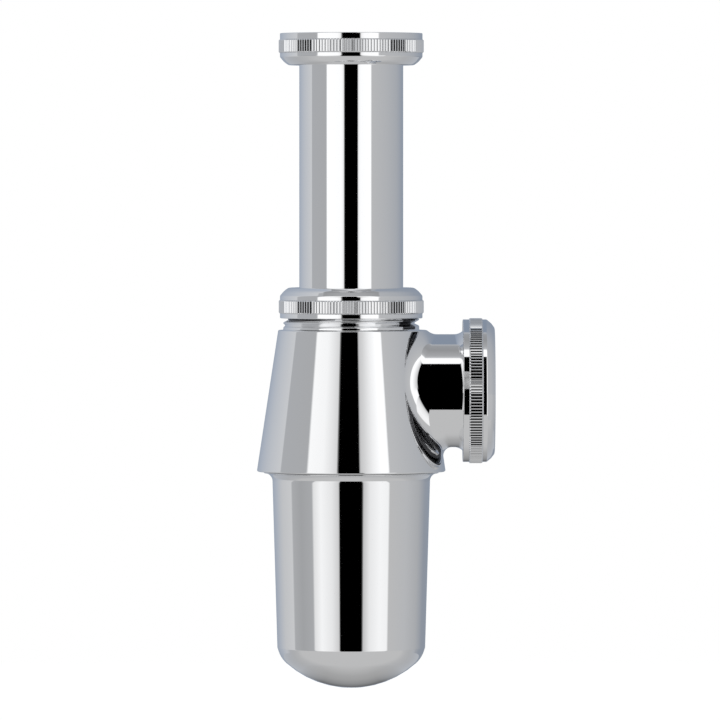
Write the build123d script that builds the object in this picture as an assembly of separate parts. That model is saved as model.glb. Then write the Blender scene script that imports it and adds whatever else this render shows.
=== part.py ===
from build123d import *
import math
import os

os.makedirs("parts", exist_ok=True)

# Bottle trap for a basin, in millimetres. The tube and the cup stand on the Z axis and the
# outlet points along +X. The origin is the centre of the inlet washer's top face, where the
# basin waste comes to rest, so everything but the inlet nut's mouth lies below it.

# Pipe and thread sizes that the three nuts share
thread_over_pipe = 4.95
thread_over_branch = 3.55
pipe_clearance = 0.35
seal_clearance = 0.15
thread_radius = 20.95
thread_depth = 1.48
thread_clearance = 0.1
thread_chamfer = 0.5
piece_gap = 0.05

# Knurled nut
nut_height = 9.85
nut_lip = 1.5
nut_wall = 0.9
nut_edge_round = 3.5
nut_mouth_band = 1.95
knurl_length = 4.1
knurl_rise = 0.4
knurl_depth = 0.43
knurl_count = 144
knurl_flat_share = 0.12

# Rings inside the nuts
ring_clearance = 0.2
washer_thickness = 2.0
slip_ring_thickness = 1.0
seal_thickness = 2.2
seal_taper = 1.1

# Inlet tube
tube_wall = 1.0
tube_flange_thickness = 1.2
tube_showing = 68.5
tube_in_body = 36.2

# Cast body
neck_height = 8.2
shoulder_step = 1.55
neck_groove = 0.95
skirt_radius = 29.1
skirt_edge_round = 0.4
body_wall = 2.4
roof_thickness = 2.6
ledge_thickness = 1.2
ledge_width = 1.7

# Side branch of the body
branch_below_shoulder = 1.3
branch_above_skirt = 7.5
branch_fillet = 5.0
branch_reach = 39.35
collar_length = 2.8
collar_root_rise = 2.2
collar_root_radius = 3.8
collar_root_dip = 0.15
socket_stop_wall = 1.4
waterway_clearance = 1.6

# Dip tube
dip_tube_clearance = 0.6
dip_tube_wall = 1.2
dip_tube_above_cup_floor = 16.5

# Cup
cup_depth = 66.55
cup_wall = 1.6
cup_top_radius = 24.35
cup_taper = 0.029
cup_dome_radius = 30.0
cup_corner_radius = 8.5
cup_flange_radius = 26.9
cup_flange_edge = 0.25
cup_flare_radius = 2.55
cup_thread_radius = 25.0
cup_thread_length = 6.0
cup_gap = 0.2
gasket_thickness = 1.5

# Sizes that follow from the ones above
pipe_radius = thread_radius - thread_over_pipe
branch_radius = thread_radius - thread_over_branch
hole_radius = pipe_radius + pipe_clearance
seal_radius = pipe_radius + seal_clearance
bore_radius = thread_radius + thread_clearance
rim_radius = bore_radius + nut_wall
knurl_radius = rim_radius + knurl_rise
seat_radius = bore_radius - thread_depth
ring_radius = seat_radius - ring_clearance
shoulder_radius = thread_radius + shoulder_step
seat_depth = tube_flange_thickness + washer_thickness
seal_stack = slip_ring_thickness + seal_thickness + 3 * piece_gap

# Levels on the Z axis
washer_bottom = -washer_thickness
flange_bottom = washer_bottom - tube_flange_thickness
inlet_nut_bottom = flange_bottom - piece_gap - nut_lip
neck_nut_top = inlet_nut_bottom - tube_showing
neck_lip_bottom = neck_nut_top - nut_lip
neck_top = neck_lip_bottom - seal_stack
shoulder_level = neck_top - neck_height
branch_level = shoulder_level - branch_below_shoulder - branch_radius
skirt_level = branch_level - branch_radius - branch_above_skirt
tube_bottom = neck_nut_top - tube_in_body

# Levels and radii of the cup's joint with the body
cup_flange_level = skirt_level - cup_gap
cup_rim_level = cup_flange_level + cup_thread_length
cup_bottom = cup_flange_level - cup_depth
gasket_level = cup_rim_level + piece_gap
ledge_level = gasket_level + gasket_thickness + piece_gap
cup_bore_radius = cup_thread_radius + thread_clearance
cup_mouth_radius = cup_thread_radius - cup_wall
ledge_inner_radius = cup_bore_radius - ledge_width
ledge_top = ledge_level + ledge_thickness

# Places and radii along the branch, whose hollow passes above the gasket's ledge
outlet_lip = branch_reach + seal_stack
collar_start = branch_reach - collar_length
socket_stop = cup_bore_radius + socket_stop_wall
waterway_radius = branch_level - ledge_top - waterway_clearance

# Dip tube
dip_tube_inner = pipe_radius + dip_tube_clearance
dip_tube_outer = dip_tube_inner + dip_tube_wall
dip_tube_bottom = cup_bottom + cup_wall + dip_tube_above_cup_floor


def turned(*lines):
    """A solid of revolution about Z from lines that close an outline of radius and height."""
    outline = make_face(Plane.XZ * (Curve() + list(lines)))
    return revolve(outline, Axis.Z)


def turned_outline(points):
    """A solid of revolution about Z from a straight-sided outline of radius and height."""
    return turned(Polyline(*points, close=True))


def ring(inner, outer, bottom, top):
    """A plain ring about Z."""
    return turned_outline([(inner, bottom), (outer, bottom), (outer, top), (inner, top)])


def towards_outlet(shape):
    """Turn a shape made about Z so that its +Z end points along +X on the branch's axis."""
    return Pos(0, 0, branch_level) * Rot(0, 90, 0) * shape


def straight_knurl(bottom, top, inner):
    """A band of flat-topped teeth with V grooves between them."""
    pitch = 2 * math.pi / knurl_count
    half_flat = pitch * knurl_flat_share / 2
    root = knurl_radius - knurl_depth
    points = []
    for tooth in range(knurl_count):
        middle = tooth * pitch
        corners = [
            (knurl_radius, middle - half_flat),
            (knurl_radius, middle + half_flat),
            (root, middle + pitch / 2),
        ]
        points += [(radius * math.cos(angle), radius * math.sin(angle)) for radius, angle in corners]
    band = Pos(0, 0, bottom) * extrude(make_face(Polyline(*points, close=True)), top - bottom)
    hole = Cylinder(inner, top - bottom, align=(Align.CENTER, Align.CENTER, Align.MIN))
    return band - Pos(0, 0, bottom) * hole


def knurled_nut():
    """A nut with its lip at the bottom and its mouth at the top, standing on Z = 0."""
    knurl_top = nut_height - nut_mouth_band
    knurl_bottom = knurl_top - knurl_length
    groove_radius = knurl_radius - knurl_depth - piece_gap
    thread_start = nut_lip + seat_depth
    face_radius = rim_radius - nut_edge_round
    nut = turned(
        Line((hole_radius, 0), (face_radius, 0)),
        RadiusArc((face_radius, 0), (rim_radius, nut_edge_round), -nut_edge_round),
        Polyline(
            (rim_radius, nut_edge_round),
            (rim_radius, knurl_bottom),
            (groove_radius, knurl_bottom),
            (groove_radius, knurl_top),
            (rim_radius, knurl_top),
            (rim_radius, nut_height),
            (bore_radius + thread_chamfer, nut_height),
            (bore_radius, nut_height - thread_chamfer),
            (bore_radius, thread_start),
            (seat_radius, thread_start),
            (seat_radius, nut_lip),
            (hole_radius, nut_lip),
            (hole_radius, 0),
        ),
    )
    return nut + straight_knurl(knurl_bottom, knurl_top, groove_radius - nut_wall / 2)


nut = knurled_nut()


def inlet_nut():
    """The union nut, mouth up, that hangs on the tube's flange."""
    return Pos(0, 0, inlet_nut_bottom) * nut


def neck_nut():
    """The compression nut on the neck, mouth down."""
    return Pos(0, 0, neck_nut_top) * Rot(180, 0, 0) * nut


def outlet_nut():
    """The compression nut on the branch, mouth towards the body."""
    return towards_outlet(Pos(0, 0, outlet_lip + nut_lip) * Rot(180, 0, 0) * nut)


def inlet_washer():
    """The flat rubber washer on the tube's flange."""
    return ring(pipe_radius - tube_wall + piece_gap, ring_radius, washer_bottom, 0)


def inlet_tube():
    """The tube, flanged at its top and open at both ends."""
    inner = pipe_radius - tube_wall
    flange_radius = ring_radius - piece_gap
    return turned_outline(
        [
            (inner, tube_bottom),
            (pipe_radius, tube_bottom),
            (pipe_radius, flange_bottom),
            (flange_radius, flange_bottom),
            (flange_radius, washer_bottom),
            (inner, washer_bottom),
        ]
    )


def slip_ring():
    """A thin plastic ring that stands on Z = 0."""
    return ring(hole_radius, ring_radius, 0, slip_ring_thickness)


def coned_seal():
    """A rubber ring that stands on Z = 0, with a short tapered nose below."""
    nose_length = seal_taper - 3 * piece_gap
    nose_root = hole_radius + seal_taper - 2 * piece_gap
    return turned_outline(
        [
            (seal_radius, -nose_length),
            (nose_root - nose_length, -nose_length),
            (nose_root, 0),
            (ring_radius, 0),
            (ring_radius, seal_thickness),
            (seal_radius, seal_thickness),
        ]
    )


def neck_seal():
    return Pos(0, 0, neck_top + piece_gap) * coned_seal()


def neck_slip_ring():
    return Pos(0, 0, neck_top + 2 * piece_gap + seal_thickness) * slip_ring()


def outlet_seal():
    return towards_outlet(Pos(0, 0, branch_reach + piece_gap) * coned_seal())


def outlet_slip_ring():
    return towards_outlet(Pos(0, 0, branch_reach + 2 * piece_gap + seal_thickness) * slip_ring())


def cone_radius(level):
    """The body's outer radius at a level between the skirt and the shoulder."""
    slope = (skirt_radius - shoulder_radius) / (shoulder_level - skirt_level)
    return shoulder_radius + slope * (shoulder_level - level)


def body_outside():
    """The cone and the branch, blended by one fillet that runs out into the shoulder."""
    spare = branch_fillet * 3
    tall_top = shoulder_level + spare
    cone = turned_outline(
        [
            (0, skirt_level),
            (skirt_radius, skirt_level),
            (cone_radius(tall_top), tall_top),
            (0, tall_top),
        ]
    )
    rod = Cylinder(branch_radius, collar_start, align=(Align.CENTER, Align.CENTER, Align.MIN))
    branch = towards_outlet(rod)
    joined = cone + branch
    meeting = [e for e in joined.edges() if e.geom_type not in (GeomType.CIRCLE, GeomType.LINE)]
    joined = fillet(meeting, branch_fillet)
    rim = joined.edges().filter_by(GeomType.CIRCLE).sort_by(Axis.Z)[0]
    joined = fillet(rim, skirt_edge_round)
    size = 2 * (branch_reach + spare)
    above = Pos(0, 0, shoulder_level) * Box(size, size, size, align=(Align.CENTER, Align.CENTER, Align.MIN))
    return joined - above


def neck():
    """The threaded neck, with the run-out groove under its thread."""
    root = thread_radius - neck_groove
    return turned_outline(
        [
            (0, shoulder_level - roof_thickness / 2),
            (thread_radius, shoulder_level - roof_thickness / 2),
            (thread_radius, shoulder_level),
            (root, shoulder_level + 2 * thread_chamfer),
            (thread_radius, shoulder_level + 3 * thread_chamfer),
            (thread_radius, neck_top - thread_chamfer),
            (thread_radius - thread_chamfer, neck_top),
            (0, neck_top),
        ]
    )


def collar():
    """The threaded collar at the branch's end, with the flare that grows out of its skin."""
    inside = branch_radius - body_wall / 2
    flare_foot = branch_radius - collar_root_dip
    flare_radius = branch_radius + collar_root_rise
    flare_rise = flare_radius - flare_foot
    flare_length = math.sqrt(2 * collar_root_radius * flare_rise - flare_rise**2)
    return towards_outlet(
        turned(
            Polyline(
                (flare_radius, collar_start),
                (thread_radius - thread_chamfer, collar_start),
                (thread_radius, collar_start + thread_chamfer),
                (thread_radius, branch_reach - thread_chamfer),
                (thread_radius - thread_chamfer, branch_reach),
                (0, branch_reach),
                (0, collar_start - flare_length),
                (inside, collar_start - flare_length),
                (flare_foot, collar_start - flare_length),
            ),
            RadiusArc(
                (flare_foot, collar_start - flare_length),
                (flare_radius, collar_start),
                collar_root_radius,
            ),
        )
    )


def chamber():
    """The hollow of the body: cup thread bore, gasket ledge, conical chamber and neck bore."""
    low_radius = cone_radius(ledge_top) - body_wall
    roof = shoulder_level - roof_thickness
    roof_radius = cone_radius(roof) - body_wall
    step = low_radius - ledge_inner_radius
    return turned_outline(
        [
            (0, skirt_level),
            (cup_bore_radius + thread_chamfer, skirt_level),
            (cup_bore_radius, skirt_level + thread_chamfer),
            (cup_bore_radius, ledge_level),
            (ledge_inner_radius, ledge_level),
            (ledge_inner_radius, ledge_top),
            (low_radius, ledge_top + step),
            (roof_radius, roof),
            (dip_tube_outer, roof),
            (dip_tube_outer, neck_top),
            (0, neck_top),
        ]
    )


def branch_bore():
    """The hollow of the branch: waterway, stop for the pipe, socket and tapered mouth."""
    return towards_outlet(
        turned_outline(
            [
                (0, 0),
                (waterway_radius, 0),
                (waterway_radius, socket_stop),
                (hole_radius, socket_stop),
                (hole_radius, branch_reach - seal_taper),
                (hole_radius + seal_taper, branch_reach),
                (0, branch_reach),
            ]
        )
    )


def trap_body():
    """The casting: neck, conical chamber and branch in one piece."""
    return body_outside() + neck() + collar() - chamber() - branch_bore()


def dip_tube():
    """The inner tube, pressed into the neck bore, its mouth tapered for the seal's nose."""
    return turned_outline(
        [
            (dip_tube_inner, dip_tube_bottom),
            (dip_tube_outer, dip_tube_bottom),
            (dip_tube_outer, neck_top),
            (dip_tube_inner + seal_taper, neck_top),
            (dip_tube_inner, neck_top - seal_taper),
        ]
    )


def cup_shape(grow):
    """The cup's dome and tapered wall up to its flange, as one solid, its skin moved by grow."""
    dome = cup_dome_radius + grow
    centre = cup_bottom + cup_dome_radius
    top_radius = cup_top_radius + grow
    low_radius = top_radius - cup_taper * cup_depth
    wall = make_face(
        Polyline(
            (0, cup_bottom),
            (low_radius, cup_bottom),
            (top_radius, cup_flange_level),
            (0, cup_flange_level),
            close=True,
        )
    )
    above = Pos(0, centre) * Rectangle(2 * dome, 2 * dome, align=(Align.CENTER, Align.MIN))
    outline = wall & (Pos(0, centre) * Circle(dome) + above)
    corner = outline.vertices().filter_by(lambda v: v.X > low_radius / 2).sort_by(Axis.Y)[0]
    outline = fillet(corner, cup_corner_radius + grow)
    return revolve(Plane.XZ * outline, Axis.Z)


def cup():
    """The bottle: domed floor, tapered wall, flared flange and threaded rim."""
    edge_level = cup_flange_level - cup_flange_edge
    flare_bottom = edge_level - cup_flare_radius
    flare_inner = cup_flange_radius - cup_flare_radius
    flange = turned(
        Polyline(
            (cup_top_radius - cup_wall, flare_bottom),
            (flare_inner, flare_bottom),
        ),
        RadiusArc((flare_inner, flare_bottom), (cup_flange_radius, edge_level), cup_flare_radius),
        Polyline(
            (cup_flange_radius, edge_level),
            (cup_flange_radius, cup_flange_level),
            (cup_thread_radius, cup_flange_level),
            (cup_thread_radius, cup_rim_level - thread_chamfer),
            (cup_thread_radius - thread_chamfer, cup_rim_level),
            (cup_mouth_radius, cup_rim_level),
            (cup_mouth_radius, edge_level),
            (cup_top_radius - cup_wall, flare_bottom),
        ),
    )
    return cup_shape(0) - cup_shape(-cup_wall) + flange


def cup_gasket():
    """The rubber ring between the cup's rim and the body's ledge."""
    return ring(ledge_inner_radius, cup_thread_radius, gasket_level, gasket_level + gasket_thickness)


pieces = {
    "inlet_nut": inlet_nut,
    "inlet_washer": inlet_washer,
    "inlet_tube": inlet_tube,
    "neck_nut": neck_nut,
    "neck_slip_ring": neck_slip_ring,
    "neck_seal": neck_seal,
    "trap_body": trap_body,
    "dip_tube": dip_tube,
    "outlet_nut": outlet_nut,
    "outlet_slip_ring": outlet_slip_ring,
    "outlet_seal": outlet_seal,
    "cup": cup,
    "cup_gasket": cup_gasket,
}

for name, make in pieces.items():
    export_step(make(), f"parts/{name}.step")
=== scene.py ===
import math

import bpy
import numpy as np
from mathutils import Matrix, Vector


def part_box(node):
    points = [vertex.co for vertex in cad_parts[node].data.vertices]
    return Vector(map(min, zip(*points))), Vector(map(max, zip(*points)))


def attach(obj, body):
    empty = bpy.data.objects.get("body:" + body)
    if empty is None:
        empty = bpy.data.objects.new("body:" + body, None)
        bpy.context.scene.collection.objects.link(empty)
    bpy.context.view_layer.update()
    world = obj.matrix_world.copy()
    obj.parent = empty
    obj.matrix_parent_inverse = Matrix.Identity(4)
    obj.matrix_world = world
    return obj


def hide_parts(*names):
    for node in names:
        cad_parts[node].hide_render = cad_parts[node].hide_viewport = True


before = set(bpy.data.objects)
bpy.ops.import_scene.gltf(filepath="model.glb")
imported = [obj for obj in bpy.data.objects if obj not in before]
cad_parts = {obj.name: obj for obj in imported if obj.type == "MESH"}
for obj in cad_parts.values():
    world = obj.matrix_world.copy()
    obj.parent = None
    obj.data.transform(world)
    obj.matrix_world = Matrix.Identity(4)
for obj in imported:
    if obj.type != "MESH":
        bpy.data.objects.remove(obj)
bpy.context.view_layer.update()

# Lengths are millimetres in the part's own frame and become metres when a piece's mesh is made.
# The levels come from the boxes of the part's solids.

MILLIMETRE = 0.001
FULL_TURN = 2 * math.pi

# Standard sizes shared by the tube, the nuts and the threads
PIPE_RADIUS = 16.0
TUBE_WALL = 1.0
HOLE_RADIUS = 16.35
THREAD_RADIUS = 20.95
THREAD_DEPTH = 1.48
THREAD_PITCH = 2.309
THREAD_CLEARANCE = 0.1
THREAD_CHAMFER = 0.5
BORE_RADIUS = THREAD_RADIUS + THREAD_CLEARANCE
SEAT_RADIUS = BORE_RADIUS - THREAD_DEPTH
# A plain edge's rounding, and the most of the shorter side next to it that it may take
SHARP_EDGE = 0.12
EDGE_SHARE = 0.45

# Knurled nut
NUT_HEIGHT = 9.85
NUT_LIP = 1.5
NUT_SEAT_TOP = 4.7
RIM_RADIUS = 21.95
KNURL_TOP = 7.9
KNURL_BOTTOM = 3.8
KNURL_RADIUS = 22.35
KNURL_FLOOR = 21.6
# The outlet nut was rolled a little shallower than the other two
FLANK_TILT = math.radians(40.8)
OUTLET_FLANK_TILT = math.radians(30)
KNURL_TEETH = 144
KNURL_FLAT_SHARE = 0.18
KNURL_CREST_SHARE = 0.36
KNURL_ROOT_SHARE = 0.2
KNURL_UNEVEN = 0.02
KNURL_CHAMFER = 0.3
KNURL_RIM_DROP = 0.02
# A root is painted dark, as the shade between the teeth, below this share of its flank
KNURL_SHADE_SHARE = 0.9
# Each nut's teeth are uneven in their own way
KNURL_SEEDS = {"inlet": 11, "neck": 12, "outlet": 13}
NUT_MOUTH_ROUND = 0.25
# The crown's corners from its face to its band: radius, height above the face and rounding
NUT_CROWN = [(19.3, 0, 1.5), (20.7, 1.0, 5.0), (RIM_RADIUS, 2.5, 0.7)]
MATT_PATCH = math.radians(253), math.radians(267)
MOUTH_FACE_MARGIN = 0.05
BAND_MARGIN = 0.1
# The neck nut's mouth was cut a little shorter than the others'
NECK_NUT_HEIGHT = 9.4

# Body
SHOULDER_RADIUS = 22.5
CONE_SLOPE = 0.15138
SKIRT_ROUND = 0.46
SKIRT_BAND = 1.0
SKIRT_MOUTH_LAND = 0.2
SHOULDER_ROUND = 0.35
BODY_WALL = 2.4
ROOF_THICKNESS = 2.6
NECK_HEIGHT = 8.2
NECK_FOOT_FLARE = 0.25
NECK_FOOT_ROUND = 0.2
NECK_FOOT_LAND = 0.6
NECK_THREAD_FADES = (1.6, 1.0)
NECK_CREST = 3.31
LEDGE_RADIUS = 23.4
LEDGE_TOP_DROP = 35.0
LEDGE_THICKNESS = 1.2
DIP_TUBE_RADIUS = 17.8
TUBE_FLANGE_THICKNESS = 1.2

# Branch
BRANCH_RADIUS = 17.4
BRANCH_DROP = 18.7
COLLAR_LENGTH = 2.8
FLARE_START = 32.7
FLARE_DRIFT = 1.0
FLARE_RADIUS = 3.8
FLARE_RISE = 2.2
WATERWAY_RADIUS = 14.7
WATERWAY_ROUND = 0.6
WATERWAY_LAND = 2.0
SOCKET_STOP = 26.5
OUTLET_CREST = 33.0
# The outer blend's radius: its mean, how much it grows towards the branch's top, and how much
# it grows towards the branch's sides
BLEND_MEAN = 5.35
BLEND_TOWARDS_TOP = 0.85
BLEND_TOWARDS_SIDES = 1.9
SEAL_TAPER = 1.1

# Cup
CUP_WALL = 1.6
CUP_TOP_RADIUS = 24.35
CUP_TAPER = 0.029
CUP_DOME_RADIUS = 30.0
CUP_CORNER_RADIUS = 8.5
# The turned wall ends in a faint crease, where the corner starts at this tilt
CUP_CREASE = math.radians(18)
CUP_CREASE_ROUND = 0.8
CUP_FLANGE_RADIUS = 26.9
CUP_FLANGE_EDGE = 0.25
CUP_FLARE_RADIUS = 2.55
CUP_THREAD_RADIUS = 25.0
CUP_THREAD_LENGTH = 6.0
CUP_THREAD_PITCH = 2.0
CUP_THREAD_DEPTH = 0.7
CUP_THREAD_LAND = 0.3
CUP_GAP = 0.2
GASKET_RADIUS = 24.25
GASKET_ROUND = 0.2

# Points that agree to this many decimals of a millimetre are welded
WELD_DIGITS = 4

# Fineness of the meshes and of the searches
SEARCH_STEPS = 4001
HALVINGS = 40
SETTLING_ROUNDS = 30
ROUND_COLUMNS = 256
ROUND_STEP = math.radians(7)
ROUND_STEPS_LEAST = 3
THREAD_ROWS_A_TURN = 16
THREAD_ROWS_LEAST = 8
KNURL_CREST_STEPS = 4
KNURL_ROOT_STEPS = 3
SHOULDER_STEPS = 6
BLEND_STEPS = 15
CONE_STEPS = 18
CONE_BACK_COLUMNS = 130
BRANCH_STEPS = 5
FLARE_STEPS = 13
# Lengths and shares that differ by less than these are the same, and so are levels that agree
# to this many decimals
SAME_LENGTH = 1e-6
SAME_SHARE = 1e-9
SAME_DIGITS = 9


def span(node):
    """A solid's lowest and highest corners in millimetres."""
    low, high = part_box(node)
    return [c / MILLIMETRE for c in low], [c / MILLIMETRE for c in high]


body_low, body_high = span("trap_body")
cup_low, cup_high = span("cup")
tube_low, tube_high = span("inlet_tube")
gasket_low, gasket_high = span("cup_gasket")
inlet_nut_face = span("inlet_nut")[0][2]
neck_nut_face = span("neck_nut")[1][2]
outlet_nut_mouth, outlet_nut_face = (corner[0] for corner in span("outlet_nut"))

neck_top = body_high[2]
shoulder_level = neck_top - NECK_HEIGHT
skirt_level = body_low[2]
branch_level = shoulder_level - BRANCH_DROP
branch_reach = body_high[0]
collar_start = branch_reach - COLLAR_LENGTH
cup_bottom = cup_low[2]
cup_flange_level = skirt_level - CUP_GAP
cup_rim_level = cup_high[2]


# Meshes

def unit(vectors):
    vectors = np.asarray(vectors, float)
    return vectors / np.linalg.norm(vectors, axis=-1, keepdims=True)


# A chrome piece's materials: plate, a dark metal that paints shade into threads, knurl roots,
# gaps and recesses, and plate that is rubbed matt
PLATED, PAINTED_SHADE, MATT = 0, 1, 2


class Skin:
    """Gathers grids of points with their normals and turns them into one welded mesh."""

    def __init__(self):
        self.points = []
        self.normals = []
        self.quads = []
        self.finishes = []
        self.count = 0

    def grid(self, points, normals, closed=False, finish=PLATED):
        """Adds rows of points. A closed grid joins its last column to its first.

        The finish is one of the mesh's materials, for the whole grid or for each of its faces.
        """
        rows, columns = points.shape[:2]
        index = np.arange(rows * columns).reshape(rows, columns) + self.count
        if closed:
            index = np.concatenate([index, index[:, :1]], axis=1)
        quads = np.stack(
            [index[:-1, :-1], index[:-1, 1:], index[1:, 1:], index[1:, :-1]], axis=-1
        ).reshape(-1, 4)
        self.points.append(points.reshape(-1, 3))
        self.normals.append(unit(normals.reshape(-1, 3)))
        self.quads.append(quads)
        spread_over = (rows - 1, len(quads) // (rows - 1))
        self.finishes.append(np.broadcast_to(finish, spread_over).reshape(-1))
        self.count += rows * columns

    def mesh(self, name, place=None):
        """The welded mesh, with the exact normals kept on its face corners."""
        points = np.concatenate(self.points)
        normals = np.concatenate(self.normals)
        quads = np.concatenate(self.quads)
        finishes = np.concatenate(self.finishes)
        if place is not None:
            points, normals = place(points), place(normals, moves=False)
        across = points[quads[:, 2]] - points[quads[:, 0]]
        along = points[quads[:, 3]] - points[quads[:, 1]]
        facing = (np.cross(across, along) * normals[quads].sum(axis=1)).sum(-1)
        quads[facing < 0] = quads[facing < 0][:, ::-1]
        _, first, welded = np.unique(
            np.round(points, WELD_DIGITS), axis=0, return_index=True, return_inverse=True
        )
        welded = welded.reshape(-1)
        faces, corner_normals, face_finishes = [], [], []
        for quad, finish in zip(quads, finishes):
            kept, seen = [], set()
            for corner in quad:
                if welded[corner] not in seen:
                    seen.add(welded[corner])
                    kept.append(corner)
            if len(kept) > 2:
                faces.append([int(welded[corner]) for corner in kept])
                corner_normals.extend(normals[kept])
                face_finishes.append(int(finish))
        mesh = bpy.data.meshes.new(name)
        mesh.from_pydata((points[first] * MILLIMETRE).tolist(), [], faces)
        mesh.polygons.foreach_set("use_smooth", [True] * len(faces))
        mesh.polygons.foreach_set("material_index", face_finishes)
        mesh.normals_split_custom_set(np.array(corner_normals).tolist())
        return mesh


def soften(corners, closed=True):
    """Rounds an outline's corners. Gives rows of radius, height and outward normal.

    A corner is radius, height and, where it isn't a plain edge, its own rounding. The solid lies
    on the left of the outline's direction.
    """
    count = len(corners)
    rows = []
    for place, corner in enumerate(corners):
        here = np.array(corner[:2], float)
        before = np.array(corners[place - 1][:2], float)
        after = np.array(corners[(place + 1) % count][:2], float)
        if not closed and place in (0, count - 1):
            way = unit(after - here) if place == 0 else unit(here - before)
            rows.append((here[0], here[1], way[1], -way[0]))
            continue
        arriving, leaving = unit(here - before), unit(after - here)
        turn = math.atan2(
            arriving[0] * leaving[1] - arriving[1] * leaving[0], float(arriving @ leaving)
        )
        room = EDGE_SHARE * min(np.linalg.norm(here - before), np.linalg.norm(after - here))
        tangent = math.tan(abs(turn) / 2)
        plain = min(SHARP_EDGE, room / max(tangent, SAME_SHARE))
        rounding = corner[2] if len(corner) > 2 else plain
        start = here - arriving * rounding * tangent
        outward = np.array([arriving[1], -arriving[0]])
        spoke = outward * rounding * math.copysign(1, turn)
        steps = max(ROUND_STEPS_LEAST, math.ceil(abs(turn) / ROUND_STEP))
        for angle in np.linspace(0, turn, steps + 1):
            c, s = math.cos(angle), math.sin(angle)
            turned = np.array([[c, -s], [s, c]])
            rows.append((*(start - spoke + turned @ spoke), *(turned @ outward)))
    return rows


ROUND_ANGLES = np.arange(ROUND_COLUMNS) * FULL_TURN / ROUND_COLUMNS


def lathe(skin, rows, angles=ROUND_ANGLES, finish=PLATED):
    """Turns rows of radius, height and normal about the Z axis."""
    radius, height, out, up = np.array(rows, float).T[:, :, None]
    c, s = np.cos(angles)[None, :], np.sin(angles)[None, :]
    flat = np.ones_like(c)
    points = np.stack([radius * c, radius * s, height * flat], axis=-1)
    normals = np.stack([out * c, out * s, up * flat], axis=-1)
    skin.grid(points, normals, closed=True, finish=finish)


def turn_open(skin, corners, angles=ROUND_ANGLES, solid_on_right=False):
    """Rounds an open outline's corners and turns it about the Z axis."""
    rows = np.array(soften(corners, closed=False))
    if solid_on_right:
        rows[:, 2:] *= -1
    lathe(skin, rows, angles)


def turn_closed(name, corners):
    """The mesh of a whole outline, rounded and turned about the Z axis."""
    rows = soften(corners)
    skin = Skin()
    lathe(skin, rows + rows[:1])
    return skin.mesh(name)


def thread(
    skin, radius, low, high, angles, crest, pitch, depth,
    inward=False, fades=(1, 1), finish=PLATED,
):
    """A right-handed thread on a cylinder about Z between two levels.

    Its crests lie at the given radius, one of them at the level crest where the angle is 0. It
    fades to that radius at the ends, over the two lengths in fades. Inward is the matching thread
    in a nut. The finish may be a function of height and angle.
    """
    rows = max(THREAD_ROWS_LEAST, int((high - low) / pitch * THREAD_ROWS_A_TURN))
    heights = np.linspace(low, high, rows)[:, None]
    turns = angles[None, :] / FULL_TURN
    wave = FULL_TURN * ((heights - crest) / pitch - turns)
    top = np.clip((high - heights) / fades[1], 0, 1)
    foot = np.clip((heights - low) / fades[0], 0, 1)
    fade = (top * top * (3 - 2 * top)) * (foot * foot * (3 - 2 * foot))
    cut = depth * (0.5 - 0.5 * np.cos(wave))
    radii = radius - cut * fade
    rise = np.gradient(radii, axis=0) / np.gradient(heights, axis=0)
    around = depth * 0.5 * np.sin(wave) * fade
    c, s = np.cos(angles)[None, :], np.sin(angles)[None, :]
    points = np.stack([radii * c, radii * s, heights + 0 * radii], axis=-1)
    slip = around / radii
    normals = np.stack([c + slip * s, s - slip * c, -rise], axis=-1)
    if callable(finish):
        finish = finish(heights[:-1], angles[None, :])
    skin.grid(points, -normals if inward else normals, closed=True, finish=finish)


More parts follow.
